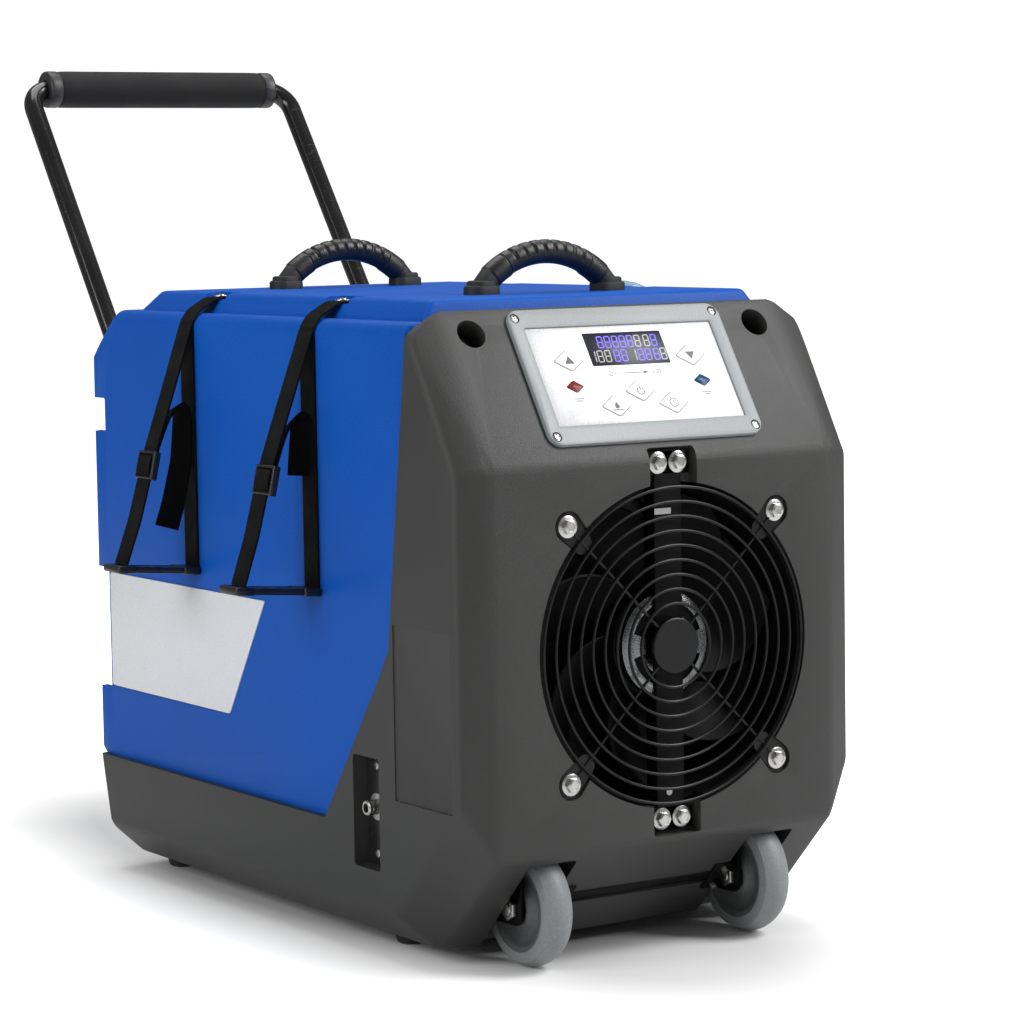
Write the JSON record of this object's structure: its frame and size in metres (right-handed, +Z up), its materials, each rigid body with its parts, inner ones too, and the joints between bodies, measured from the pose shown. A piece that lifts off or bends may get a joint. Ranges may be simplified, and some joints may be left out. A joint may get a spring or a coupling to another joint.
{
  "type": "dehumidifier",
  "caption": "Wheeled portable dehumidifier with a moulded case, guarded axial fan, tilted key panel, folding pull handle, carry handles and hose straps.",
  "frame": {"origin": "on the floor under the middle of the bounding box of everything but the stowed hose", "axes": "front faces -Y, the pull handle is at +Y, +Z is up"},
  "size_m": [0.5546, 0.907, 0.7686],
  "materials": {
    "grey_shell": "fine moulded grain",
    "blue_shell": "smooth rotomoulded",
    "label": "blank printed plate",
    "bezel": "satin",
    "membrane": "satin overlay",
    "display_glass": "tinted window",
    "lens": "translucent",
    "steel": "zinc plated",
    "key_cap": "satin",
    "board": "coated",
    "black_wire": "powder coat",
    "black_steel": "powder coat",
    "black_plastic": "moulded",
    "motor_metal": "machined",
    "fan_plastic": "glass filled",
    "tyre_grey": "smooth",
    "hub_plastic": "moulded",
    "black_rubber": "matte",
    "black_paint": "gloss black",
    "foam": "foam grip",
    "webbing": "woven",
    "compressor_black": "satin",
    "fin_aluminium": "bare",
    "copper": "brazed copper",
    "tank_plastic": "translucent",
    "hose_clear": "clear flexible tube",
    "float_orange": "moulded",
    "filter_plastic": "moulded",
    "filter_media": "fibre mat",
    "coupler_plastic": "moulded"
  },
  "bodies": {
    "case": {"front_shell": "grey_shell", "rear_shell": "blue_shell", "label_plates": "label", "control_bezel": "bezel", "control_panel": "membrane", "display_window": "display_glass", "status_lenses": "lens", "pan_screws": "steel", "deep_screws": "steel", "control_board": "board", "fan_guard": "black_wire", "flange_bolts": "steel", "fan_strut": "black_steel", "fan_shroud": "black_plastic", "motor_stator": "motor_metal", "wheel_forks": "black_steel", "axle_bolts": "steel", "axle_nuts": "steel", "rubber_feet": "black_rubber", "handle_brackets": "black_steel", "pivot_pins": "steel", "rear_screws": "steel", "carry_grips": "black_rubber", "carry_boots": "black_rubber", "straps_left": "webbing", "straps_right": "webbing", "strap_buckles": "black_plastic", "strap_bars": "black_plastic", "port_plate": "black_plastic", "drain_port": "steel", "cable_gland": "black_plastic", "compressor": "compressor_black", "compressor_grommets": "black_rubber", "evaporator": "fin_aluminium", "condenser": "fin_aluminium", "refrigerant_pipes": "copper", "drip_tray": "black_plastic", "sump_tank": "tank_plastic", "condensate_pump": "black_plastic", "pump_hose": "hose_clear", "hose_coil": "hose_clear", "hose_lead": "hose_clear", "hose_coupler": "coupler_plastic"},
    "pull_handle": {"handle_tube": "black_paint", "handle_grip": "foam"},
    "wheel_left": {"tyre_left": "tyre_grey", "hub_left": "hub_plastic", "bearing_left": "steel"},
    "wheel_right": {"tyre_right": "tyre_grey", "hub_right": "hub_plastic", "bearing_right": "steel"},
    "fan": {"fan_impeller": "fan_plastic"},
    "filter": {"filter_frame": "filter_plastic", "filter_mesh": "filter_media"},
    "float": {"float_ball": "float_orange"},
    "key_up_cap": {"key_up": "key_cap"},
    "key_down_cap": {"key_down": "key_cap"},
    "key_power_cap": {"key_power": "key_cap"},
    "key_purge_cap": {"key_purge": "key_cap"},
    "key_timer_cap": {"key_timer": "key_cap"}
  },
  "joints": [
    {"name": "handle_fold", "type": "hinge", "parent": "case", "child": "pull_handle", "pos_m": [0, 0.20751, 0.437], "axis": [-1, 0, 0], "range_deg": [0, 138]},
    {"name": "wheel_left_roll", "type": "hinge", "parent": "case", "child": "wheel_left", "pos_m": [-0.112, -0.40349, 0.0505], "axis": [1, 0, 0], "continuous": true},
    {"name": "wheel_right_roll", "type": "hinge", "parent": "case", "child": "wheel_right", "pos_m": [0.112, -0.40349, 0.0505], "axis": [1, 0, 0], "continuous": true},
    {"name": "fan_spin", "type": "hinge", "parent": "case", "child": "fan", "pos_m": [0.008, -0.39949, 0.262], "axis": [0, 1, 0], "continuous": true},
    {"name": "filter_slide", "type": "slide", "parent": "case", "child": "filter", "axis": [0, 1, 0], "range_m": [0, 0.1]},
    {"name": "float_rise", "type": "slide", "parent": "case", "child": "float", "axis": [0, 0, 1], "range_m": [0, 0.025]},
    {"name": "key_up_press", "type": "slide", "parent": "case", "child": "key_up_cap", "axis": [0, 0.8431, -0.5377], "range_m": [0, 0.0006], "stiffness_N_per_m": 400},
    {"name": "key_down_press", "type": "slide", "parent": "case", "child": "key_down_cap", "axis": [0, 0.8431, -0.5377], "range_m": [0, 0.0006], "stiffness_N_per_m": 400},
    {"name": "key_power_press", "type": "slide", "parent": "case", "child": "key_power_cap", "axis": [0, 0.8431, -0.5377], "range_m": [0, 0.0006], "stiffness_N_per_m": 400},
    {"name": "key_purge_press", "type": "slide", "parent": "case", "child": "key_purge_cap", "axis": [0, 0.8431, -0.5377], "range_m": [0, 0.0006], "stiffness_N_per_m": 400},
    {"name": "key_timer_press", "type": "slide", "parent": "case", "child": "key_timer_cap", "axis": [0, 0.8431, -0.5377], "range_m": [0, 0.0006], "stiffness_N_per_m": 400}
  ]
}
